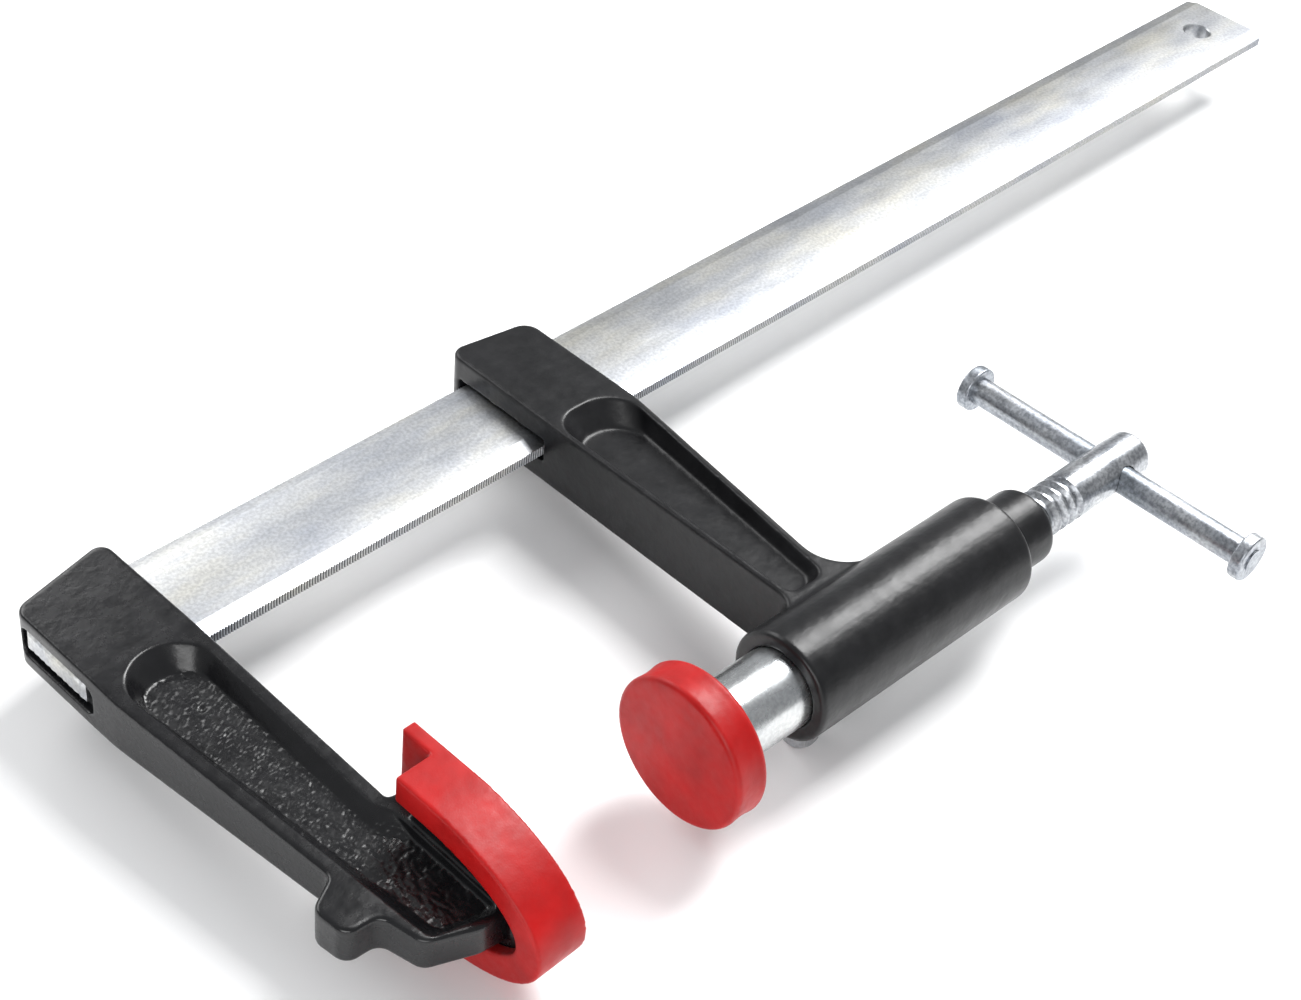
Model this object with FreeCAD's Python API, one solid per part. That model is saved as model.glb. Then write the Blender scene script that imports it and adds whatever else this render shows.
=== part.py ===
import FreeCAD, Part
import math
import os

# F clamp: a flat bar with a fixed cast jaw at one end, a cast arm that slides along the bar,
# and a screw in the arm that drives a non-rotating plunger with a round pad.
#
# Units are millimetres. The frame has its origin at the middle of the fixed clamping face,
# on the spindle's axis. +X runs along the bar from the fixed jaw to its free end, +Y runs
# from the spindle to the bar, and +Z is up when the clamp lies flat.

Vector = FreeCAD.Vector

# ---- driving dimensions ----
THROAT = 120.0                # spindle axis to the near edge of the bar
OPENING = 62.0                # gap between the two clamping faces at rest
BAR_WIDTH = 38.0
BAR_THICKNESS = 6.6
BAR_FREE_LENGTH = 555.0       # from the fixed jaw's throat side to the free end
JAW_THICKNESS = 19.6          # at the fixed jaw's head
ARM_THICKNESS = 24.2
PAD_RADIUS = 23.4
PLUNGER_RADIUS = 12.6
SPINDLE_RADIUS = 8.0
THREAD_PITCH = 4.0
THREAD_DEPTH = 1.6
TOMMY_RADIUS = 4.65
TOMMY_LENGTH = 113.0

# ---- clearances ----
SLOT_SIDE_GAP = 1.2           # bar in the sliding arm's slot, at each serrated edge
SLOT_FACE_GAP = 0.8           # bar in the sliding arm's slot, above and below
TOMMY_GAP = 0.35              # tommy bar in its cross hole, radial
RUN_GAP = 0.10                # plunger, spindle and neck in their bores, radial
SKIN = 0.4                    # pad to a surface it doesn't grip

# ---- bar ----
BAR_Y = THROAT + BAR_WIDTH / 2
BAR_BEVEL = 5.3               # width of each sloping face, seen from above
BAR_EDGE = 3.3                # height of the serrated edge
BAR_HOLE_RADIUS = 5.5
BAR_HOLE_FROM_END = 21.5
TENON_LENGTH = 5.0            # narrowed end that is riveted in the fixed jaw
TENON_WIDTH = 27.2
TENON_THICKNESS = 6.4

# ---- fixed jaw ----
JAW_X = -12.0                 # throat side of the fixed jaw
HEAD_DEPTH = 34.4             # throat side to back of the fixed jaw's head
BAR_END_INSET = 0.6           # riveted bar end, below the back of the head
JAW_TIP_THICKNESS = 11.2
JAW_TAPER_Y = 121.0           # where the jaw starts to get thinner
JAW_TIP_Y = -5.0
FOOT_THICKNESS = 7.6          # plate behind the fixed pad
WEB = 6.4                     # web between the pockets of the fixed jaw
RECESS_DEPTH = 3.2            # hollow in the back of the head, round the riveted bar end
RECESS_HALF_HEIGHT = 5.2
RECESS_CORNER = 3.0
RECESS_FROM = -18.0           # the hollow's two ends, from the middle of the bar
RECESS_TO = 15.0

# ---- castings ----
JAW_FLOOR_FILLET = 0.5        # where the walls of the jaw's pocket meet its floor
ARM_FLOOR_FILLET = 1.5        # where the walls of the arm's pocket meet its floor
EDGE_ROUND = 1.2              # outer edges of both castings

# ---- fixed pad ----
FACE_WALL = 4.4
SIDE_WALL = 4.0
LIP = 4.0
PAD_HALF_HEIGHT = 24.4
PAD_END_Y = -21.3
PAD_ROUND_Y = 23.5            # where the straight sides of the pad give way to its rounded end
PAD_SIDE_Y = 33.3
PAD_TONGUE_Y = 44.5

# ---- sliding arm ----
ARM_X = OPENING + 58.4        # throat side of the arm
ARM_HEAD_DEPTH = 31.3
BARREL_RADIUS = 17.4
BARREL_FRONT = 18.5           # barrel mouth ahead of the arm's throat side
BARREL_BACK = 75.0            # barrel shoulder behind the arm's throat side
COLLAR_RADIUS = 12.4
COLLAR_LENGTH = 17.0
BORE_END = 73.5               # bottom of the plunger's bore, from the arm's throat side
BOSS_RADIUS = 6.0
BOSS_DROP = 25.0              # spindle axis to the seat of the guide screw
SCREW_X = ARM_X - 5.0
ARM_WEB_HALF = 4.2            # half the web between the arm's pockets, at the bar
ARM_WEB_GROWTH = 4.0          # how much it grows towards the barrel
SHOULDER_ROUND = 2.0
MOUTH_ROUND = 1.5

# ---- how the arm stands in its slot ----
LEAN = 1.95                   # degrees about Z, towards the fixed jaw
ROLL = 1.82                   # degrees about the bar's length

# ---- plunger and spindle ----
DISC_WALL = 3.4               # round pad's face, in front of the pressure plate
DISC_LIP = 2.8                # round pad's lip, behind the pressure plate
PLATE_RADIUS = 19.0
PLATE_THICKNESS = 5.0
PLUNGER_END = ARM_X + 39.0
SPIGOT_RADIUS = 7.0
NECK_RADIUS = 5.9
NECK_START = ARM_X + 14.0
GROOVE_X = ARM_X + 30.0
GROOVE_RADIUS = 4.3
PIN_RADIUS = 1.5
PIN_PLAY = 0.3                # end play of the pins in the spindle's groove
BALL_RADIUS = 3.5
THREAD_END = ARM_X + 112.5
SPINDLE_END = ARM_X + 148.1
TOMMY_X = ARM_X + 134.5
KEYWAY_WIDTH = 5.4
KEYWAY_DEPTH = 3.6
KEYWAY_AHEAD = 34.0           # reach of the keyway ahead of the guide screw
KEYWAY_BEHIND = 23.0
SCREW_RADIUS = 3.0
SCREW_HEAD = 4.2
SCREW_FLATS = 10.0
TIP_RADIUS = 2.5
CAP_RADIUS = 7.7
CAP_THICKNESS = 4.6


def box(x, y, z):
    """A block from three (low, high) pairs."""
    corner = Vector(x[0], y[0], z[0])
    return Part.makeBox(x[1] - x[0], y[1] - y[0], z[1] - z[0], corner)


def rod_x(radius, x_low, x_high, y=0.0, z=0.0):
    return Part.makeCylinder(radius, x_high - x_low, Vector(x_low, y, z), Vector(1, 0, 0))


def rod_y(radius, y_low, y_high, x=0.0, z=0.0):
    return Part.makeCylinder(radius, y_high - y_low, Vector(x, y_low, z), Vector(0, 1, 0))


def rod_z(radius, z_low, z_high, x=0.0, y=0.0):
    return Part.makeCylinder(radius, z_high - z_low, Vector(x, y, z_low), Vector(0, 0, 1))


def fuse(first, *others):
    """One clean solid from shapes that overlap or share faces."""
    return first.fuse(list(others)).removeSplitter()


def rounded_wire(corners, place):
    """A closed wire through (a, b, radius) corners, each turned by a tangent arc.

    place turns a pair of in-plane coordinates into a point in space.
    """
    count = len(corners)
    edges = []
    ends = []
    for index in range(count):
        before = FreeCAD.Base.Vector2d(*corners[index - 1][:2])
        here = FreeCAD.Base.Vector2d(*corners[index][:2])
        after = FreeCAD.Base.Vector2d(*corners[(index + 1) % count][:2])
        radius = corners[index][2]
        back = before - here
        ahead = after - here
        back = back * (1.0 / back.length())
        ahead = ahead * (1.0 / ahead.length())
        half = math.acos(max(-1.0, min(1.0, back * ahead))) / 2
        if radius <= 0:
            ends.append((here, here, None))
            continue
        run = radius / math.tan(half)
        middle = back + ahead
        middle = middle * (1.0 / middle.length())
        crown = here + middle * (radius / math.sin(half) - radius)
        ends.append((here + back * run, here + ahead * run, crown))
    points = [[None if p is None else place(p.x, p.y) for p in end] for end in ends]
    for index in range(count):
        start, stop, crown = points[index]
        if crown is not None:
            edges.append(Part.Arc(start, crown, stop).toShape())
        following = points[(index + 1) % count][0]
        if (following - stop).Length > 1e-6:
            edges.append(Part.LineSegment(stop, following).toShape())
    return Part.Wire(edges)


def plan_wire(corners, z=0.0):
    return rounded_wire(corners, lambda a, b: Vector(a, b, z))


def plan_block(corners, z_low, z_high):
    """An outline seen from above, extruded upwards."""
    return Part.Face(plan_wire(corners, z_low)).extrude(Vector(0, 0, z_high - z_low))


def section_wire(corners, x):
    return rounded_wire(corners, lambda a, b: Vector(x, a, b))


def section_block(corners, x_low, x_high):
    """An outline seen along the bar, extruded along the bar."""
    return Part.Face(section_wire(corners, x_low)).extrude(Vector(x_high - x_low, 0, 0))


def shifted(corners, x=0.0, y=0.0):
    return [(a + x, b + y, radius) for a, b, radius in corners]


def turned(outline):
    """A solid of revolution about the spindle axis, from (x, radius) points."""
    points = [Vector(x, radius, 0) for x, radius in outline]
    wire = Part.makePolygon(points + points[:1])
    return Part.Face(wire).revolve(Vector(0, 0, 0), Vector(1, 0, 0), 360)


def ease_rims(solid, radius, places):
    """Round the circular edges about the spindle axis that lie at the given x and radius."""
    chosen = []
    for edge in solid.Edges:
        if not isinstance(edge.Curve, Part.Circle):
            continue
        centre = edge.Curve.Center
        for x, rim in places:
            if abs(centre.x - x) < 0.01 and abs(edge.Curve.Radius - rim) < 0.01:
                chosen.append(edge)
    return solid.makeFillet(radius, chosen)


def rims(solid, keep):
    """Edges that stay on one side of the middle plane and whose end points keep accepts."""
    chosen = []
    for edge in solid.Edges:
        ends = [vertex.Point for vertex in edge.Vertexes]
        if ends[0].z * ends[-1].z > 0 and keep(ends):
            chosen.append(edge)
    return chosen


def on_jaw_outline(ends):
    """Leaves out the crease where the jaw starts to thin, and the foot's buried end."""
    crease = all(abs(end.y - JAW_TAPER_Y) < 0.01 for end in ends)
    buried = all(abs(end.x - JAW_X - FOOT_THICKNESS) < 0.01 for end in ends)
    return not crease and not buried


def clear_of_barrel_axis(ends):
    return any(end.y > 1.0 for end in ends)


def bar_section(grow=0.0):
    """Corners of the bar's cross-section: wide flats, sloping faces and narrow edges."""
    half_width = BAR_WIDTH / 2 + grow
    half_flat = BAR_WIDTH / 2 - BAR_BEVEL
    half_height = BAR_THICKNESS / 2 + grow
    half_edge = BAR_EDGE / 2 + grow
    upper = [(half_width, half_edge), (half_flat, half_height)]
    upper += [(-half_flat, half_height), (-half_width, half_edge)]
    lower = [(a, -b) for a, b in reversed(upper)]
    return [(BAR_Y + a, b, 0) for a, b in upper + lower]


def bar():
    start = JAW_X - HEAD_DEPTH + BAR_END_INSET
    end = JAW_X + BAR_FREE_LENGTH
    rail = section_block(bar_section(), start + TENON_LENGTH, end)
    hole = rod_z(BAR_HOLE_RADIUS, -BAR_THICKNESS, BAR_THICKNESS, end - BAR_HOLE_FROM_END, BAR_Y)
    return fuse(rail, tenon(start)).cut(hole)


def tenon(start):
    """The narrowed end of the bar, from the given x to just inside the full section."""
    return box(
        (start, start + TENON_LENGTH + 1.0),
        (BAR_Y - TENON_WIDTH / 2, BAR_Y + TENON_WIDTH / 2),
        (-TENON_THICKNESS / 2, TENON_THICKNESS / 2),
    )


def jaw_outline():
    """The fixed jaw from above: head, tapering arm, heel lug, tip and the stub into the foot."""
    back = JAW_X - HEAD_DEPTH
    foot = JAW_X + FOOT_THICKNESS
    return [
        (JAW_X, 163.8, 4.0),
        (back, 156.2, 5.0),
        (back, 111.0, 60.0),
        (JAW_X - 27.4, 31.0, 3.0),
        (JAW_X - 37.2, 26.0, 4.5),
        (JAW_X - 36.0, 14.2, 4.5),
        (JAW_X - 26.0, 13.6, 4.0),
        (JAW_X - 23.2, 0.6, 5.0),
        (JAW_X - 9.0, -5.6, 10.0),
        (foot, -7.6, 0),
        (foot, 39.5, 0),
        (JAW_X, 41.0, 1.5),
    ]


def jaw_pocket(deep):
    """Corners of the fixed jaw's pocket at its rim, or at its floor when deep."""
    inset = 4.0 if deep else 0.0
    curve = 8.5 if deep else 13.0
    return shifted([
        (-3.3 - inset, 120.4 - inset * 1.6, curve),
        (-31.2 + inset, 120.4 - inset * 1.6, curve),
        (-20.9 + inset, 0.5 + inset * 0.6, 3.0),
        (-2.0, -4.5 + inset * 0.6, 2.0),
        (-2.0, 36.5 - inset * 2.4, 4.0),
        (-4.4 - inset, 41.0 - inset * 1.4, 4.0),
    ], JAW_X)


def pocket(corners, floor, rim, side, fillet):
    """A pocket whose walls lean outwards from its floor to its rim.

    floor and rim give the height above the middle plane at any y; side is 1 above, -1 below.
    """
    low = rounded_wire(corners(True), lambda a, b: Vector(a, b, side * floor(b)))
    high = rounded_wire(corners(False), lambda a, b: Vector(a, b, side * (rim(b) + 0.01)))
    tool = Part.makeLoft([low, high], True, True)
    at_floor = [edge for edge in tool.Edges if lies_on(edge, lambda y: side * floor(y))]
    return tool.makeFillet(fillet, at_floor)


def lies_on(edge, height):
    """Whether an edge runs along a surface that is given as a height at any y."""
    ends = [vertex.Point for vertex in edge.Vertexes]
    return all(abs(point.z - height(point.y)) < 0.02 for point in ends)


def pad_block(inset, top, x_low, x_high):
    """A D-shaped block: straight sides from y = top, then half an ellipse, inset all round."""
    half = PAD_HALF_HEIGHT - inset
    reach = PAD_ROUND_Y - PAD_END_Y - inset
    upper = Vector(x_low, PAD_ROUND_Y, half)
    lower = Vector(x_low, PAD_ROUND_Y, -half)
    end = Vector(x_low, PAD_ROUND_Y - reach, 0)
    ellipse = Part.Ellipse(end, upper, Vector(x_low, PAD_ROUND_Y, 0))
    low = ellipse.parameter(lower)
    high = ellipse.parameter(upper)
    if high < low:
        high += 2 * math.pi
    arc = Part.ArcOfEllipse(ellipse, low, high).toShape()
    first, last = arc.Vertexes[0].Point, arc.Vertexes[-1].Point
    side = math.copysign(half, last.z)
    corners = [last, Vector(x_low, top, side), Vector(x_low, top, -side), first]
    straights = [Part.LineSegment(a, b).toShape() for a, b in zip(corners, corners[1:])]
    face = Part.Face(Part.Wire([arc] + straights))
    return face.extrude(Vector(x_high - x_low, 0, 0))


def jaw_half(y):
    """Half the fixed jaw's thickness: it thins evenly from the head to the tip."""
    slope = (JAW_THICKNESS - JAW_TIP_THICKNESS) / 2 / (JAW_TAPER_Y - JAW_TIP_Y)
    return JAW_THICKNESS / 2 - slope * (JAW_TAPER_Y - y)


def jaw_floor(y):
    """Height of the fixed jaw's pocket floor, the same at any y."""
    return WEB / 2


def fixed_jaw():
    back = JAW_X - HEAD_DEPTH
    half = JAW_THICKNESS / 2
    body = plan_block(jaw_outline(), -half, half)
    past_tip = JAW_TIP_Y - 10
    envelope = [(BAR_Y + BAR_WIDTH, half, 0), (JAW_TAPER_Y, half, 0)]
    envelope += [(past_tip, jaw_half(past_tip), 0)]
    envelope += [(a, -b, 0) for a, b, _ in reversed(envelope)]
    body = body.common(section_block(envelope, back - 5, JAW_X + FOOT_THICKNESS + 5))
    body = body.makeFillet(EDGE_ROUND, rims(body, on_jaw_outline))
    foot = pad_block(SIDE_WALL + SKIN, PAD_SIDE_Y - 2.0, JAW_X - SKIN, JAW_X + FOOT_THICKNESS)
    body = fuse(body, foot)
    for side in (1, -1):
        body = body.cut(pocket(jaw_pocket, jaw_floor, jaw_half, side, JAW_FLOOR_FILLET))
    slot = section_block(bar_section(), back + BAR_END_INSET + TENON_LENGTH, JAW_X + 1)
    low, high = BAR_Y + RECESS_FROM, BAR_Y + RECESS_TO
    ends = [(low, -1), (high, -1), (high, 1), (low, 1)]
    mouth = [(y, side * RECESS_HALF_HEIGHT, RECESS_CORNER) for y, side in ends]
    recess = section_block(mouth, back - 1, back + RECESS_DEPTH)
    return body.cut(slot).cut(tenon(back + BAR_END_INSET)).cut(recess)


def fixed_jaw_pad():
    """A moulded cap: face, side walls and a lip that hooks behind the foot plate."""
    back = JAW_X - SKIN - LIP
    face = JAW_X + FOOT_THICKNESS
    shell = pad_block(0.0, PAD_SIDE_Y, back, face)
    room = pad_block(SIDE_WALL, PAD_SIDE_Y + 1, JAW_X - SKIN, face)
    throat = pad_block(SIDE_WALL + 5.0, PAD_SIDE_Y + 1, back - 1, JAW_X)
    front = pad_block(0.0, PAD_TONGUE_Y, face, face + FACE_WALL)
    return fuse(shell.cut(room).cut(throat), front)


def arm_outline():
    """The sliding arm from above: head, tapering arm and the blends into the barrel."""
    blend = BARREL_RADIUS - 5.0
    return shifted([
        (0.0, 165.5, 5.0),
        (ARM_HEAD_DEPTH, 161.5, 6.0),
        (ARM_HEAD_DEPTH, 110.0, 30.0),
        (18.4, blend, 14.0),
        (44.0, blend, 0),
        (44.0, 0.0, 0),
        (-14.0, 0.0, 0),
        (-14.0, blend, 0),
        (0.0, blend, 7.0),
    ], ARM_X)


def arm_pocket(deep):
    """Corners of the sliding arm's pocket at its rim, or at its floor when deep."""
    inset = 2.0 if deep else 0.0
    return shifted([
        (2.0 + inset, 118.0 - inset * 3.5, 9.0),
        (29.9 - inset, 118.0 - inset * 3.5, 12.0),
        (16.2 - inset, 16.0 + inset, 5.0),
        (2.0 + inset, 16.0 + inset, 4.0),
    ], ARM_X)


def arm_floor(y):
    """Height of the sliding arm's pocket floor: shallower towards the barrel."""
    return ARM_WEB_HALF + ARM_WEB_GROWTH * (THROAT - y) / THROAT


def arm_half(y):
    """Half the sliding arm's thickness, the same at any y."""
    return ARM_THICKNESS / 2


def sliding_arm():
    half = ARM_THICKNESS / 2
    body = plan_block(arm_outline(), -half, half)
    body = body.makeFillet(EDGE_ROUND, rims(body, clear_of_barrel_axis))
    for side in (1, -1):
        body = body.cut(pocket(arm_pocket, arm_floor, arm_half, side, ARM_FLOOR_FILLET))
    shoulder = ARM_X + BARREL_BACK
    barrel = rod_x(BARREL_RADIUS, ARM_X - BARREL_FRONT, shoulder)
    collar = rod_x(COLLAR_RADIUS, shoulder - 1, shoulder + COLLAR_LENGTH)
    barrel = fuse(barrel, collar)
    outer_rims = [(shoulder, BARREL_RADIUS), (shoulder + COLLAR_LENGTH, COLLAR_RADIUS)]
    barrel = ease_rims(barrel, SHOULDER_ROUND, outer_rims)
    barrel = ease_rims(barrel, MOUTH_ROUND, [(ARM_X - BARREL_FRONT, BARREL_RADIUS)])
    boss = rod_z(BOSS_RADIUS, -BOSS_DROP, 0, SCREW_X)
    body = fuse(body, barrel, boss)
    bore = rod_x(PLUNGER_RADIUS + RUN_GAP, ARM_X - BARREL_FRONT - 1, ARM_X + BORE_END)
    thread_bore = rod_x(SPINDLE_RADIUS + RUN_GAP, ARM_X + BORE_END - 1, shoulder + COLLAR_LENGTH + 1)
    screw_bore = rod_z(SCREW_RADIUS, -BOSS_DROP - 1, 0, SCREW_X)
    half_width = BAR_WIDTH / 2 + SLOT_SIDE_GAP
    half_height = BAR_THICKNESS / 2 + SLOT_FACE_GAP
    slot = box(
        (ARM_X - 1, ARM_X + ARM_HEAD_DEPTH + 1),
        (BAR_Y - half_width, BAR_Y + half_width),
        (-half_height, half_height),
    )
    return body.cut(bore).cut(thread_bore).cut(screw_bore).cut(slot)


def plunger():
    """A steel tube: a spigot for the pressure plate, a keyway underneath and a bored rear end."""
    plate_back = OPENING + DISC_WALL + PLATE_THICKNESS
    body = turned([
        (plate_back - PLATE_THICKNESS, 0),
        (plate_back - PLATE_THICKNESS, SPIGOT_RADIUS),
        (plate_back, SPIGOT_RADIUS),
        (plate_back, PLUNGER_RADIUS),
        (PLUNGER_END, PLUNGER_RADIUS),
        (PLUNGER_END, 0),
    ])
    body = ease_rims(body, 0.8, [(PLUNGER_END, PLUNGER_RADIUS)])
    bore = rod_x(NECK_RADIUS + RUN_GAP, NECK_START - 2 * BALL_RADIUS, PLUNGER_END + 1)
    keyway = box(
        (SCREW_X - KEYWAY_AHEAD, SCREW_X + KEYWAY_BEHIND),
        (-KEYWAY_WIDTH / 2, KEYWAY_WIDTH / 2),
        (-PLUNGER_RADIUS - 1, -PLUNGER_RADIUS + KEYWAY_DEPTH),
    )
    body = body.cut(bore).cut(keyway)
    reach = PLUNGER_RADIUS + 5
    for side in (1, -1):
        body = body.cut(rod_z(PIN_RADIUS, -reach, reach, GROOVE_X, side * pin_offset()))
    return body


def pin_offset():
    """Distance of each retaining pin's axis from the spindle axis."""
    return GROOVE_RADIUS + RUN_GAP + PIN_RADIUS


def pressure_plate():
    front = OPENING + DISC_WALL
    plate = turned([
        (front, SPIGOT_RADIUS),
        (front, PLATE_RADIUS),
        (front + PLATE_THICKNESS, PLATE_RADIUS),
        (front + PLATE_THICKNESS, SPIGOT_RADIUS),
    ])
    return ease_rims(plate, 0.8, [(front + PLATE_THICKNESS, PLATE_RADIUS)])


def plunger_pad():
    """A round moulded cap with a slightly waisted side and a lip behind the pressure plate."""
    front = OPENING
    room = front + DISC_WALL
    back = room + PLATE_THICKNESS + DISC_LIP
    waist = PAD_RADIUS - 0.35
    return turned([
        (front, 0),
        (front, PAD_RADIUS - 1.2),
        (front + 0.4, PAD_RADIUS - 0.4),
        (front + 1.2, PAD_RADIUS),
        (front + 3.2, PAD_RADIUS - 0.2),
        ((front + back) / 2, waist),
        (back - 3.0, PAD_RADIUS - 0.2),
        (back - 1.2, PAD_RADIUS + 0.1),
        (back - 0.4, PAD_RADIUS - 0.3),
        (back, PAD_RADIUS - 1.1),
        (back, PLUNGER_RADIUS + 0.6),
        (room + PLATE_THICKNESS, PLUNGER_RADIUS + 0.6),
        (room + PLATE_THICKNESS, PLATE_RADIUS),
        (room, PLATE_RADIUS),
        (room, 0),
    ])


def thread_groove(x_low, x_high):
    """The helical groove that leaves a trapezoidal thread on a cylinder about the X axis."""
    root = THREAD_PITCH * 0.14
    mouth = THREAD_PITCH * 0.40
    over = 0.4
    inner = SPINDLE_RADIUS - THREAD_DEPTH
    outer = SPINDLE_RADIUS + over
    helix = Part.makeHelix(THREAD_PITCH, x_high - x_low, inner)
    flare = mouth + (mouth - root) * over / THREAD_DEPTH
    profile = Part.makePolygon([
        Vector(inner, 0, -root),
        Vector(outer, 0, -flare),
        Vector(outer, 0, flare),
        Vector(inner, 0, root),
        Vector(inner, 0, -root),
    ])
    groove = Part.Wire(helix).makePipeShell([profile], True, True)
    groove.rotate(Vector(0, 0, 0), Vector(0, 1, 0), 90)
    groove.translate(Vector(x_low, 0, 0))
    return groove


def spindle():
    """A threaded shank with a smooth round head, and a neck that runs in the plunger."""
    shank_start = PLUNGER_END + 0.6
    shank = rod_x(SPINDLE_RADIUS, shank_start, SPINDLE_END)
    shank = ease_rims(shank, 2.4, [(SPINDLE_END, SPINDLE_RADIUS)])
    reach = SPINDLE_RADIUS + 5
    shank = shank.cut(thread_groove(shank_start - THREAD_PITCH, THREAD_END))
    shank = shank.cut(rod_y(TOMMY_RADIUS + TOMMY_GAP, -reach, reach, TOMMY_X))
    groove_half = PIN_RADIUS + PIN_PLAY
    neck = turned([
        (NECK_START, 0),
        (NECK_START, NECK_RADIUS - 0.8),
        (NECK_START + 0.8, NECK_RADIUS),
        (GROOVE_X - groove_half, NECK_RADIUS),
        (GROOVE_X - groove_half, GROOVE_RADIUS),
        (GROOVE_X + groove_half, GROOVE_RADIUS),
        (GROOVE_X + groove_half, NECK_RADIUS),
        (shank_start + 1.0, NECK_RADIUS),
        (shank_start + 1.0, 0),
    ])
    return shank.fuse(neck)


def thrust_ball():
    return Part.makeSphere(BALL_RADIUS, Vector(NECK_START - BALL_RADIUS, 0, 0))


def retaining_pins():
    """Two pins pressed through the plunger, one each side of the spindle's groove."""
    reach = math.sqrt(PLUNGER_RADIUS ** 2 - (pin_offset() + PIN_RADIUS) ** 2) - 0.2
    pins = [rod_z(PIN_RADIUS, -reach, reach, GROOVE_X, side * pin_offset()) for side in (1, -1)]
    return Part.makeCompound(pins)


def tommy_bar():
    half = TOMMY_LENGTH / 2
    stem = rod_y(TOMMY_RADIUS, CAP_THICKNESS - half, half - CAP_THICKNESS, TOMMY_X)
    spigot = rod_y(TOMMY_RADIUS - 1.0, -half, half, TOMMY_X)
    return fuse(stem, spigot)


def tommy_cap(side):
    """A disc riveted on one end of the tommy bar, with a groove round its rim."""
    half = TOMMY_LENGTH / 2
    inner = side * (half - CAP_THICKNESS)
    outer = side * (half - 0.5)
    low, high = sorted((inner, outer))
    disc = rod_y(CAP_RADIUS, low, high, TOMMY_X)
    rims = [edge for edge in disc.Edges if isinstance(edge.Curve, Part.Circle)]
    disc = disc.makeFillet(0.7, rims)
    return disc.cut(rod_y(TOMMY_RADIUS - 1.0, low - 1, high + 1, TOMMY_X))


def hexagon(across_flats, z_low, z_high, x):
    radius = across_flats / math.sqrt(3)
    angles = [math.radians(60 * step) for step in range(6)]
    corners = [(x + radius * math.cos(a), radius * math.sin(a), 0) for a in angles]
    return plan_block(corners, z_low, z_high)


def guide_screw():
    """A hexagon screw under the barrel; its tip runs in the plunger's keyway."""
    underside = -BOSS_DROP - SCREW_HEAD
    head = hexagon(SCREW_FLATS, underside, -BOSS_DROP, SCREW_X)
    chamfer = Part.makeCone(4.4, 8.0, 5.0, Vector(SCREW_X, 0, underside), Vector(0, 0, 1))
    head = head.common(chamfer)
    shank = rod_z(SCREW_RADIUS, -BOSS_DROP, -PLUNGER_RADIUS - 1.0, SCREW_X)
    tip = rod_z(TIP_RADIUS, -PLUNGER_RADIUS - 1.0, -PLUNGER_RADIUS + KEYWAY_DEPTH - 0.6, SCREW_X)
    return fuse(head, shank, tip)


def canted(shape):
    """Stands a shape as the arm stands on the bar: it leans and rolls within its slot's play."""
    pivot = Vector(ARM_X + ARM_HEAD_DEPTH / 2, BAR_Y, 0)
    shape.rotate(pivot, Vector(1, 0, 0), -ROLL)
    shape.rotate(pivot, Vector(0, 0, 1), -LEAN)
    return shape


def fixed_nodes():
    return {
        "bar": bar(),
        "fixed_jaw": fixed_jaw(),
        "fixed_jaw_pad": fixed_jaw_pad(),
    }


def moving_nodes():
    """Everything that slides with the arm, square to the bar."""
    return {
        "sliding_arm": sliding_arm(),
        "guide_screw": guide_screw(),
        "plunger": plunger(),
        "pressure_plate": pressure_plate(),
        "plunger_pad": plunger_pad(),
        "retaining_pins": retaining_pins(),
        "thrust_ball": thrust_ball(),
        "spindle": spindle(),
        "tommy_bar": tommy_bar(),
        "tommy_bar_cap_bar_side": tommy_cap(1),
        "tommy_bar_cap_outer": tommy_cap(-1),
    }


def main():
    os.makedirs("parts", exist_ok=True)
    nodes = fixed_nodes()
    for name, shape in moving_nodes().items():
        nodes[name] = canted(shape)
    for name, shape in nodes.items():
        shape.exportStep(f"parts/{name}.step")
        print(name, shape.isValid(), len(shape.Solids), round(shape.Volume))


main()
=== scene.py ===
import math
import bmesh
import bpy
from mathutils import Matrix, Vector, noise


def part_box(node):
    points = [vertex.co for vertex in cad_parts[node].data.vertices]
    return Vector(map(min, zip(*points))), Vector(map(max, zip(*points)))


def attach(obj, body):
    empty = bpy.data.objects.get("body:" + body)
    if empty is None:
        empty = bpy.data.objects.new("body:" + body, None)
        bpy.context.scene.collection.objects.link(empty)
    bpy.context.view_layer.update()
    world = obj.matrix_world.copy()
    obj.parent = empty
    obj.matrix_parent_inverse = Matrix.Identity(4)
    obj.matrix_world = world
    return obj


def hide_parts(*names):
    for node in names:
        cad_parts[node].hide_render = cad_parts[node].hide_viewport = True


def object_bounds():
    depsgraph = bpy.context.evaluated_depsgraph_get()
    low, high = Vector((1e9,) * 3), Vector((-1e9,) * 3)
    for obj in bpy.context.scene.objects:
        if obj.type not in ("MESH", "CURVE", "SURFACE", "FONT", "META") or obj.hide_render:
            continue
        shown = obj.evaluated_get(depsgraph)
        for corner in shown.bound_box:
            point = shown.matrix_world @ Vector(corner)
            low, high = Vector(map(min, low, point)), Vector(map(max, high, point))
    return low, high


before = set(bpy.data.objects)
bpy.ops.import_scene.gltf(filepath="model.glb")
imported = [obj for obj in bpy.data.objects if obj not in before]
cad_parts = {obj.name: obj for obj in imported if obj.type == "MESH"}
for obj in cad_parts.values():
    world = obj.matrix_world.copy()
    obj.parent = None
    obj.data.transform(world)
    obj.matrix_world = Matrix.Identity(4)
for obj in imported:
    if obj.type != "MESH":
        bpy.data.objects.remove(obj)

cad_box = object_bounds()

MM = 0.001

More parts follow.
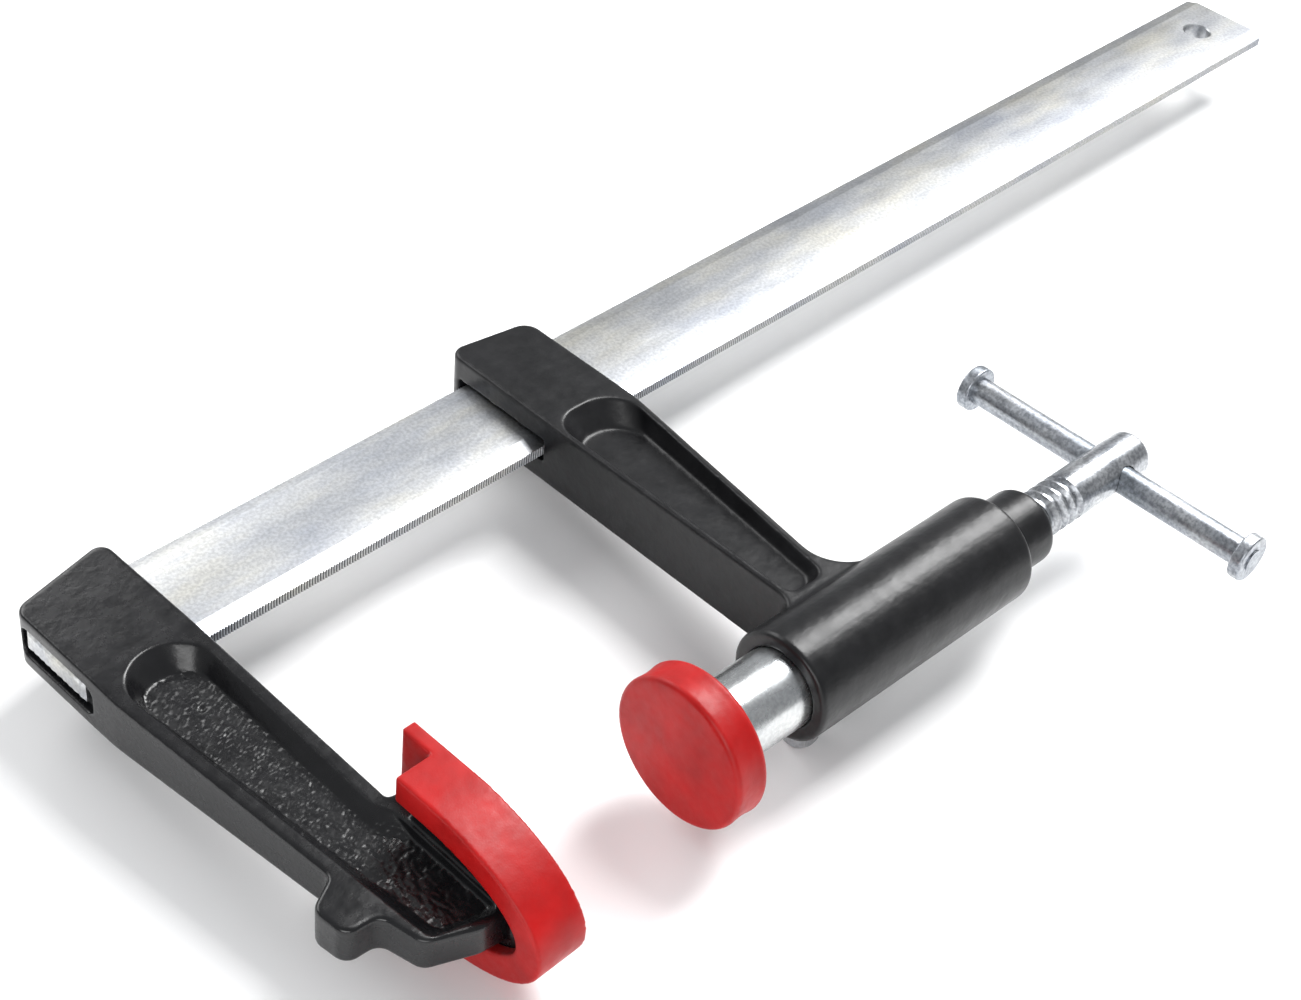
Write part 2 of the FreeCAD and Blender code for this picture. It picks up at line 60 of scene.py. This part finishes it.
# ---- camera ----
CAMERA_PLACE = Vector((-0.2629, -0.2362, 0.4443))
CAMERA_RIGHT = Vector((0.69204, -0.71497, 0.09953))
CAMERA_DOWN = Vector((-0.42475, -0.51479, -0.74470))
CAMERA_LENS = 60.73           # for a 36 mm wide sensor
SENSOR_WIDTH = 36.0

# ---- bar ----
TOOTH_PITCH = 1.0 * MM
TOOTH_DEPTH = 0.45 * MM
BAR_BEVEL = 5.3 * MM
BAR_EDGE = 3.3 * MM
BAR_HOLE_RADIUS = 5.5 * MM
BAR_HOLE_FROM_END = 21.5 * MM
BAR_THICKNESS = 6.6 * MM
BAR_NEAR_END = -0.046         # riveted end of the bar, along X
TENON_LENGTH = 5.0 * MM
TENON_WIDTH = 27.2 * MM
TENON_THICKNESS = 6.4 * MM
TENON_ROWS = 8                # cells of the riveted end's hammered face
TENON_COLUMNS = 34
CORNER_EASE = 0.25 * MM       # width of the strip that eases each flat into its bevel
COUNTERSINK = 0.5 * MM
HOLE_STEPS = 48
SMOOTH_BELOW = 25             # degrees between faces of the bar that still shade as one

# ---- castings ----
FLOOR_HEIGHT = 5.0 * MM       # a pocket's floor lies lower than this on both sides
PIT_PLACE = Vector((-0.0266, 0.0987, 0.0032))
PIT_RADIUS = 1.5 * MM
PIT_DEPTH = 1.0 * MM
JAW_VOXEL = 0.42 * MM         # size of the cells that each worn copy is rebuilt from
ARM_VOXEL = 0.45 * MM
FIXED_PAD_VOXEL = 0.50 * MM
ROUND_PAD_VOXEL = 0.45 * MM
CASTING_PASSES = 8            # rounds of smoothing, which wear the edges
FIXED_PAD_PASSES = 5
ROUND_PAD_PASSES = 3
GRAIN_DEPTH = 0.35 * MM

# ---- floor and light ----
FLOOR_HALF_SIZE = 6.0
FLOOR_GAP = 0.0005            # between the floor and the object's lowest point
SKY_COLOUR = (0.95, 0.97, 1.0, 1.0)
SKY_STRENGTH = 0.42
LIGHT_TARGET = Vector((0.2, 0.05, 0.0))
SOFTBOXES = (                 # name, place from the target, size, watts
    ("overhead", (0.70, 0.08, 0.98), (0.55, 0.9), 26.0),
    ("back", (-0.2, 1.3, 0.9), (1.6, 0.5), 12.0),
    ("front", (-1.1, -0.7, 0.6), (0.9, 0.6), 9.0),
)


# ---------------------------------------------------------------- materials

class Surface:
    """A principled material and the few node patterns that the finishes share."""

    def __init__(self, name, roughness, metallic=0.0, specular=0.5):
        self.material = bpy.data.materials.new(name)
        self.material.use_nodes = True
        self.nodes = self.material.node_tree.nodes
        self.links = self.material.node_tree.links
        self.shader = self.nodes["Principled BSDF"]
        self.shader.inputs["Roughness"].default_value = roughness
        self.shader.inputs["Metallic"].default_value = metallic
        self.shader.inputs["Specular IOR Level"].default_value = specular
        self.place = self.nodes.new("ShaderNodeTexCoord").outputs["Object"]
        self.normal = None

    def noise(self, scale, detail=4.0, stretch=(1, 1, 1), rough=0.55):
        """A noise pattern; scale is in features per metre, stretch lengthens it along an axis."""
        mapping = self.nodes.new("ShaderNodeMapping")
        mapping.inputs["Scale"].default_value = [1.0 / s for s in stretch]
        texture = self.nodes.new("ShaderNodeTexNoise")
        texture.inputs["Scale"].default_value = scale
        texture.inputs["Detail"].default_value = detail
        texture.inputs["Roughness"].default_value = rough
        self.links.new(self.place, mapping.inputs["Vector"])
        self.links.new(mapping.outputs["Vector"], texture.inputs["Vector"])
        return texture.outputs["Fac"]

    def ramp(self, factor, stops):
        """Colours (position, (r, g, b)) spread along a pattern."""
        ramp = self.nodes.new("ShaderNodeValToRGB")
        elements = ramp.color_ramp.elements
        while len(elements) < len(stops):
            elements.new(0.5)
        for element, (position, colour) in zip(elements, stops):
            element.position = position
            element.color = (*colour, 1.0)
        self.links.new(factor, ramp.inputs["Fac"])
        return ramp.outputs["Color"]

    def blend(self, factor, first, second, mode="MIX"):
        mix = self.nodes.new("ShaderNodeMix")
        mix.data_type = "RGBA"
        mix.blend_type = mode
        if isinstance(factor, float):
            mix.inputs["Factor"].default_value = factor
        else:
            self.links.new(factor, mix.inputs["Factor"])
        self.links.new(first, mix.inputs["A"])
        self.links.new(second, mix.inputs["B"])
        return mix.outputs["Result"]

    def span(self, factor, low, high, start=0.3, stop=0.7):
        """A pattern remapped to the range low to high."""
        remap = self.nodes.new("ShaderNodeMapRange")
        remap.inputs["From Min"].default_value = start
        remap.inputs["From Max"].default_value = stop
        remap.inputs["To Min"].default_value = low
        remap.inputs["To Max"].default_value = high
        self.links.new(factor, remap.inputs["Value"])
        return remap.outputs["Result"]

    def bump(self, height, distance, strength=1.0):
        """Adds relief of the given depth in metres on top of any there already."""
        bump = self.nodes.new("ShaderNodeBump")
        bump.inputs["Distance"].default_value = distance
        bump.inputs["Strength"].default_value = strength
        self.links.new(height, bump.inputs["Height"])
        if self.normal is not None:
            self.links.new(self.normal, bump.inputs["Normal"])
        self.normal = bump.outputs["Normal"]

    def far_from(self, axis, centre, low, high):
        """0 nearer than low to a plane across an axis (0, 1 or 2), 1 further than high."""
        split = self.nodes.new("ShaderNodeSeparateXYZ")
        self.links.new(self.place, split.inputs["Vector"])
        away = self.nodes.new("ShaderNodeMath")
        away.operation = "SUBTRACT"
        away.inputs[1].default_value = centre
        self.links.new(split.outputs[axis], away.inputs[0])
        size = self.nodes.new("ShaderNodeMath")
        size.operation = "ABSOLUTE"
        self.links.new(away.outputs["Value"], size.inputs[0])
        return self.span(size.outputs["Value"], 0.0, 1.0, low, high)

    def finish(self, colour, roughness=None):
        self.links.new(colour, self.shader.inputs["Base Color"])
        if roughness is not None:
            self.links.new(roughness, self.shader.inputs["Roughness"])
        if self.normal is not None:
            self.links.new(self.normal, self.shader.inputs["Normal"])
        return self.material


def zinc_coat(surface, tints, along, roughness, spangle):
    """Zinc plating: mottled grey with a faint passivated tint, fine scratches and small dents.

    roughness is the range from its glossiest to its dullest patches, and spangle is how
    strongly its flecks show. Gives back the colour and the roughness, for finish.
    """
    blotches = surface.noise(70, 5.0, along)
    speckle = surface.noise(900, 3.0)
    base = surface.ramp(blotches, tints)
    flecks = surface.ramp(speckle, [(0.38, (0.62, 0.62, 0.63)), (0.62, (1.08, 1.08, 1.08))])
    colour = surface.blend(spangle, base, flecks, "MULTIPLY")
    scratches = surface.noise(1400, 2.0, tuple(s * 18 if s > 1 else s for s in along))
    surface.bump(scratches, 0.02 * MM, 0.5)
    surface.bump(speckle, 0.04 * MM, 0.5)
    gloss = surface.span(surface.noise(160, 4.0, along), roughness[0], roughness[1])
    return colour, gloss


def zinc(name, tints, along=(1, 1, 1), roughness=(0.24, 0.42), spangle=0.5):
    """A whole material of plain zinc plating; along stretches its pattern on each axis."""
    surface = Surface(name, roughness[0], metallic=1.0)
    return surface.finish(*zinc_coat(surface, tints, along, roughness, spangle))


def bar_darker_towards_free_end(surface):
    """White at the bar's riveted end, greyer towards its free end."""
    return surface.ramp(surface.far_from(0, BAR_NEAR_END, 0.1, 0.55), [
        (0.0, (1.0, 1.0, 1.0)),
        (1.0, (0.72, 0.72, 0.72)),
    ])


def tooth_root_painted_shade(surface):
    """Painted shade: dark at the roots of the teeth on both narrow edges, white on the rest of the
    bar.
    """
    low, high = (Vector(c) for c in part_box("bar"))
    middle = (low.y + high.y) / 2
    half_width = (high.y - low.y) / 2
    root = half_width - TOOTH_DEPTH
    teeth = surface.ramp(surface.far_from(1, middle, root, half_width), [
        (0.2, (0.10, 0.10, 0.10)),
        (0.8, (1.0, 1.0, 1.0)),
    ])
    above = surface.ramp(surface.far_from(2, 0.0, BAR_EDGE / 2, BAR_EDGE / 2 + 0.15 * MM), [
        (0.0, (0.0, 0.0, 0.0)),
        (1.0, (1.0, 1.0, 1.0)),
    ])
    inside = surface.ramp(surface.far_from(1, middle, root - 0.05 * MM, root), [
        (0.0, (1.0, 1.0, 1.0)),
        (1.0, (0.0, 0.0, 0.0)),
    ])
    # painted shade in the tooth grooves, kept off the flats and the bevels
    root_shade = surface.blend(1.0, teeth, above, "ADD")
    return surface.blend(1.0, root_shade, inside, "LIGHTEN")


def bar_zinc():
    """The bar's plating: it is darker towards the free end, and painted shade lies between the teeth.
    """
    surface = Surface("bar_zinc", 0.34, metallic=1.0)
    tints = [
        (0.32, (0.42, 0.44, 0.48)),
        (0.50, (0.54, 0.55, 0.56)),
        (0.68, (0.62, 0.61, 0.56)),
    ]
    colour, gloss = zinc_coat(surface, tints, (3.0, 1, 1), (0.34, 0.40), 0.5)
    # darker towards the bar's free end
    colour = surface.blend(1.0, colour, bar_darker_towards_free_end(surface), "MULTIPLY")
    # multiplies painted shade into the roots of the teeth
    colour = surface.blend(1.0, colour, tooth_root_painted_shade(surface), "MULTIPLY")
    return surface.finish(colour, gloss)


def plunger_zinc():
    tints = [(0.30, (0.50, 0.52, 0.54)), (0.70, (0.66, 0.67, 0.66))]
    return zinc("plunger_zinc", tints, along=(2.5, 1, 1), roughness=(0.22, 0.34), spangle=0.35)


def spindle_zinc():
    tints = [(0.30, (0.34, 0.36, 0.39)), (0.70, (0.56, 0.57, 0.58))]
    return zinc("spindle_zinc", tints, roughness=(0.26, 0.40), spangle=1.0)


def tommy_zinc():
    tints = [
        (0.30, (0.22, 0.25, 0.28)),
        (0.55, (0.36, 0.38, 0.41)),
        (0.75, (0.52, 0.53, 0.53)),
    ]
    return zinc("tommy_zinc", tints, along=(1, 2.5, 1), roughness=(0.28, 0.45), spangle=1.0)


def plain_steel():
    tints = [(0.30, (0.40, 0.40, 0.41)), (0.70, (0.52, 0.52, 0.52))]
    return zinc("plain_steel", tints)


def screw_zinc():
    tints = [(0.30, (0.45, 0.46, 0.48)), (0.70, (0.60, 0.61, 0.62))]
    return zinc("screw_zinc", tints)


def black_paint(name, roughness, specular, peel_depth, flow_depth):
    """Thick black paint on a casting: orange peel, longer waves and slight changes of gloss."""
    surface = Surface(name, roughness[0], specular=specular)
    colour = surface.ramp(surface.noise(120, 4.0), [
        (0.3, (0.003, 0.003, 0.0035)),
        (0.7, (0.007, 0.007, 0.008)),
    ])
    surface.bump(surface.noise(70, 3.0), flow_depth)
    surface.bump(surface.noise(500, 3.0), peel_depth)
    gloss = surface.span(surface.noise(220, 5.0), roughness[0], roughness[1])
    return surface.finish(colour, gloss)


def jaw_paint():
    return black_paint("jaw_paint", (0.20, 0.32), 0.45, 0.06 * MM, 0.2 * MM)


def arm_paint():
    return black_paint("arm_paint", (0.30, 0.40), 0.35, 0.05 * MM, 0.4 * MM)


def red_plastic():
    surface = Surface("red_plastic", 0.45, specular=0.30)
    shade = surface.noise(90, 4.0)
    colour = surface.ramp(shade, [(0.3, (0.30, 0.002, 0.002)), (0.7, (0.42, 0.003, 0.003))])
    surface.bump(surface.noise(110, 2.0), 0.25 * MM)
    surface.bump(surface.noise(1800, 3.0), 0.03 * MM)
    gloss = surface.span(surface.noise(300, 4.0), 0.38, 0.52)
    return surface.finish(colour, gloss)


def floor_paper():
    surface = Surface("floor_paper", 0.9, specular=0.1)
    colour = surface.ramp(surface.noise(3.0, 2.0), [
        (0.3, (0.90, 0.90, 0.90)),
        (0.7, (0.94, 0.94, 0.94)),
    ])
    return surface.finish(colour)


# ---------------------------------------------------------------- pieces

def new_object(name, mesh):
    thing = bpy.data.objects.new(name, mesh)
    bpy.context.scene.collection.objects.link(thing)
    return thing


def apply_modifiers(thing):
    """Bakes an object's modifiers into its mesh."""
    depsgraph = bpy.context.evaluated_depsgraph_get()
    mesh = bpy.data.meshes.new_from_object(thing.evaluated_get(depsgraph))
    thing.modifiers.clear()
    thing.data = mesh


def shade(mesh, angle):
    """Smooth shading, kept sharp where faces meet at more than the angle."""
    mesh.polygons.foreach_set("use_smooth", [True] * len(mesh.polygons))
    mesh.set_sharp_from_angle(angle=math.radians(angle))


def bar_columns(low, high):
    """Positions along the bar and whether each is a tooth's crest or root."""
    count = int((high.x - low.x) / TOOTH_PITCH)
    half = TOOTH_PITCH / 2
    columns = []
    for tooth in range(count):
        x = low.x + (high.x - low.x - count * TOOTH_PITCH) / 2 + tooth * TOOTH_PITCH
        columns.append((x, False))
        columns.append((x + half, True))
    return [(low.x, False)] + columns[1:] + [(high.x, False)]


def tenon_mesh(low, middle):
    """The riveted end: a block whose outer face is hammered and marked by cross ridges."""
    maker = bmesh.new()
    grid = []
    for row in range(TENON_ROWS + 1):
        line = []
        for column in range(TENON_COLUMNS + 1):
            y = middle + TENON_WIDTH * (column / TENON_COLUMNS - 0.5)
            z = TENON_THICKNESS * (row / TENON_ROWS - 0.5)
            ridge = 0.5 + 0.5 * math.sin(column * 1.9)
            hammer = 0.5 + 0.5 * noise.noise(Vector((y * 400, z * 400, 0.0)))
            rim = row in (0, TENON_ROWS) or column in (0, TENON_COLUMNS)
            sink = (0.45 if rim else 0.0) + 0.22 * ridge + 0.25 * hammer
            line.append(maker.verts.new((low.x + sink * MM, y, z)))
        grid.append(line)
    for lower, upper in zip(grid, grid[1:]):
        for column in range(TENON_COLUMNS):
            maker.faces.new((lower[column], lower[column + 1], upper[column + 1], upper[column]))
    border = [edge for edge in maker.edges if edge.is_boundary]
    wall = bmesh.ops.extrude_edge_only(maker, edges=border)["geom"]
    moved = [part for part in wall if isinstance(part, bmesh.types.BMVert)]
    for vert in moved:
        vert.co.x = low.x + TENON_LENGTH
    bmesh.ops.holes_fill(maker, edges=[edge for edge in maker.edges if edge.is_boundary])
    bmesh.ops.recalc_face_normals(maker, faces=maker.faces)
    mesh = bpy.data.meshes.new("bar_tenon")
    maker.to_mesh(mesh)
    maker.free()
    return mesh


def bar_ring(x, crest, middle, half_width):
    """The bar's cross-section at one place: teeth are grooves cut straight down each edge."""
    depth = 0.0 if crest else TOOTH_DEPTH
    slope = (BAR_THICKNESS - BAR_EDGE) / 2 / BAR_BEVEL
    edge_height = BAR_EDGE / 2 + depth * slope
    flat = half_width - BAR_BEVEL
    quarter = [
        (half_width - depth, edge_height),
        (flat + CORNER_EASE, BAR_THICKNESS / 2 - CORNER_EASE * slope),
        (flat - CORNER_EASE, BAR_THICKNESS / 2),
    ]
    upper = quarter + [(-a, b) for a, b in reversed(quarter)]
    lower = [(a, -b) for a, b in reversed(upper)]
    return [Vector((x, middle + a, b)) for a, b in upper + lower]


def serrated_bar():
    """The whole bar as one mesh, with its teeth, hanging hole and riveted end."""
    low, high = (Vector(c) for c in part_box("bar"))
    middle = (low.y + high.y) / 2
    half_width = (high.y - low.y) / 2
    mesh_maker = bmesh.new()
    rings = []
    shoulder = low + Vector((TENON_LENGTH, 0, 0))
    for x, crest in bar_columns(shoulder, high):
        rings.append([mesh_maker.verts.new(p) for p in bar_ring(x, crest, middle, half_width)])
    size = len(rings[0])
    for first, second in zip(rings, rings[1:]):
        for index in range(size):
            following = (index + 1) % size
            mesh_maker.faces.new((first[index], first[following], second[following], second[index]))
    mesh_maker.faces.new(rings[0])
    mesh_maker.faces.new(list(reversed(rings[-1])))
    bmesh.ops.recalc_face_normals(mesh_maker, faces=mesh_maker.faces)
    mesh = bpy.data.meshes.new("bar_serrated")
    mesh_maker.to_mesh(mesh)
    mesh_maker.free()
    piece = new_object("bar_serrated", mesh)
    drill(piece, Vector((high.x - BAR_HOLE_FROM_END, middle, 0.0)))
    join_shell(piece, tenon_mesh(low, middle))
    shade(piece.data, SMOOTH_BELOW)
    return piece


def join_shell(piece, mesh):
    """Adds a closed mesh that stands against the piece's own."""
    maker = bmesh.new()
    maker.from_mesh(piece.data)
    maker.from_mesh(mesh)
    maker.to_mesh(piece.data)
    maker.free()
    bpy.data.meshes.remove(mesh)


def drill(piece, place):
    """Cuts the hanging hole, with a small countersink on both faces."""
    half = BAR_THICKNESS / 2
    wide = BAR_HOLE_RADIUS + COUNTERSINK
    outline = [(-half * 2, wide), (-half, wide), (-half + COUNTERSINK, BAR_HOLE_RADIUS)]
    outline += [(-z, r) for z, r in reversed(outline)]
    cutter = new_object("bar_drill", lathe_mesh("bar_drill", outline, place, HOLE_STEPS))
    modifier = piece.modifiers.new("hole", "BOOLEAN")
    modifier.operation = "DIFFERENCE"
    modifier.solver = "EXACT"
    modifier.object = cutter
    apply_modifiers(piece)
    bpy.data.objects.remove(cutter, do_unlink=True)


def lathe_mesh(name, outline, place, steps):
    """A closed mesh turned about a vertical axis from (height, radius) points."""
    maker = bmesh.new()
    rings = []
    for height, radius in outline:
        turns = [2 * math.pi * step / steps for step in range(steps)]
        points = [place + Vector((radius * math.cos(t), radius * math.sin(t), height)) for t in turns]
        rings.append([maker.verts.new(p) for p in points])
    for first, second in zip(rings, rings[1:]):
        for index in range(steps):
            following = (index + 1) % steps
            maker.faces.new((first[index], first[following], second[following], second[index]))
    maker.faces.new(rings[0])
    maker.faces.new(rings[-1])
    bmesh.ops.recalc_face_normals(maker, faces=maker.faces)
    mesh = bpy.data.meshes.new(name)
    maker.to_mesh(mesh)
    maker.free()
    return mesh


def softened(node, name, voxel, passes):
    """A copy of a CAD solid with its edges worn round, as moulding or sand casting leaves them."""
    piece = new_object(name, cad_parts[node].data.copy())
    piece.data.materials.clear()
    remesh = piece.modifiers.new("remesh", "REMESH")
    remesh.mode = "VOXEL"
    remesh.voxel_size = voxel
    smooth = piece.modifiers.new("smooth", "SMOOTH")
    smooth.factor = 0.5
    smooth.iterations = passes
    apply_modifiers(piece)
    shade(piece.data, 180)
    return piece


def grain(piece, depth):
    """Raises the floors of a casting's pockets into sand grain, and leaves the rest smooth."""
    spots = [(vertex.co.copy(), vertex.normal.copy()) for vertex in piece.data.vertices]
    for vertex, (place, normal) in zip(piece.data.vertices, spots):
        if abs(place.z) > FLOOR_HEIGHT or abs(normal.z) < 0.8:
            continue
        coarse = noise.noise(place * 700)
        fine = noise.noise(place * 1500)
        vertex.co = place + normal * depth * (0.6 * coarse + 0.4 * fine)


def pit(piece, place, radius, depth):
    """Sinks a small round blowhole into a casting."""
    for vertex in piece.data.vertices:
        away = (vertex.co - place).length / radius
        if away < 1.0:
            vertex.co.z -= depth * (1 - away * away) ** 2


# ---------------------------------------------------------------- scene

def dress(thing, material):
    thing.data.materials.clear()
    thing.data.materials.append(material)


def paint_node(node, material):
    """Puts a material on a CAD node without touching its mesh."""
    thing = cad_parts[node]
    for holder in thing.material_slots:
        holder.material = material


def build_pieces(materials):
    bar = serrated_bar()
    dress(bar, materials["bar_zinc"])
    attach(bar, "bar_and_fixed_jaw")
    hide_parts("bar")

    jaw = softened("fixed_jaw", "fixed_jaw_casting", JAW_VOXEL, CASTING_PASSES)
    grain(jaw, GRAIN_DEPTH)
    pit(jaw, PIT_PLACE, PIT_RADIUS, PIT_DEPTH)
    dress(jaw, materials["jaw_paint"])
    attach(jaw, "bar_and_fixed_jaw")
    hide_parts("fixed_jaw")

    pad = softened("fixed_jaw_pad", "fixed_pad_moulding", FIXED_PAD_VOXEL, FIXED_PAD_PASSES)
    dress(pad, materials["red_plastic"])
    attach(pad, "bar_and_fixed_jaw")
    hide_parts("fixed_jaw_pad")

    arm = softened("sliding_arm", "sliding_arm_casting", ARM_VOXEL, CASTING_PASSES)
    dress(arm, materials["arm_paint"])
    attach(arm, "arm")
    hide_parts("sliding_arm")

    round_pad = softened("plunger_pad", "round_pad_moulding", ROUND_PAD_VOXEL, ROUND_PAD_PASSES)
    dress(round_pad, materials["red_plastic"])
    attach(round_pad, "plunger_group")
    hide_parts("plunger_pad")

    kept = {
        "guide_screw": "screw_zinc",
        "plunger": "plunger_zinc",
        "pressure_plate": "plain_steel",
        "retaining_pins": "plain_steel",
        "thrust_ball": "plain_steel",
        "spindle": "spindle_zinc",
        "tommy_bar": "tommy_zinc",
        "tommy_bar_cap_bar_side": "tommy_zinc",
        "tommy_bar_cap_outer": "tommy_zinc",
    }
    for node, name in kept.items():
        paint_node(node, materials[name])


def build_floor(material):
    """A large sheet just under the object, big enough to reach past every view."""
    half = FLOOR_HALF_SIZE
    low = cad_box[0][2] - FLOOR_GAP
    middle = [(cad_box[0][axis] + cad_box[1][axis]) / 2 for axis in range(2)]
    corners = [(-half, -half), (half, -half), (half, half), (-half, half)]
    maker = bmesh.new()
    maker.faces.new([maker.verts.new((middle[0] + a, middle[1] + b, low)) for a, b in corners])
    mesh = bpy.data.meshes.new("floor")
    maker.to_mesh(mesh)
    maker.free()
    floor = new_object("floor", mesh)
    floor.data.materials.append(material)


def build_camera():
    right = CAMERA_RIGHT.normalized()
    back = CAMERA_DOWN.cross(right).normalized()
    up = back.cross(right).normalized()
    data = bpy.data.cameras.new("camera")
    data.sensor_width = SENSOR_WIDTH
    data.lens = CAMERA_LENS
    data.clip_start = 0.01
    camera = bpy.data.objects.new("camera", data)
    turn = Matrix((right, up, back)).transposed()
    camera.matrix_world = Matrix.Translation(CAMERA_PLACE) @ turn.to_4x4()
    bpy.context.scene.collection.objects.link(camera)
    bpy.context.scene.camera = camera


def area_light(name, place, target, size, power):
    data = bpy.data.lights.new(name, "AREA")
    data.shape = "RECTANGLE"
    data.size, data.size_y = size
    data.energy = power
    light = bpy.data.objects.new(name, data)
    light.location = place
    light.rotation_euler = (target - place).to_track_quat("-Z", "Y").to_euler()
    bpy.context.scene.collection.objects.link(light)


def build_light():
    world = bpy.data.worlds.new("studio")
    world.use_nodes = True
    background = world.node_tree.nodes["Background"]
    background.inputs["Color"].default_value = SKY_COLOUR
    background.inputs["Strength"].default_value = SKY_STRENGTH
    bpy.context.scene.world = world
    for name, place, size, power in SOFTBOXES:
        area_light(name, LIGHT_TARGET + Vector(place), LIGHT_TARGET, size, power)


def main():
    paints = (jaw_paint, arm_paint, red_plastic)
    platings = (bar_zinc, screw_zinc, plunger_zinc, plain_steel, spindle_zinc, tommy_zinc)
    materials = {maker.__name__: maker() for maker in paints + platings}
    build_pieces(materials)
    build_floor(floor_paper())
    build_camera()
    build_light()
    bpy.context.scene.view_settings.view_transform = "Standard"


main()
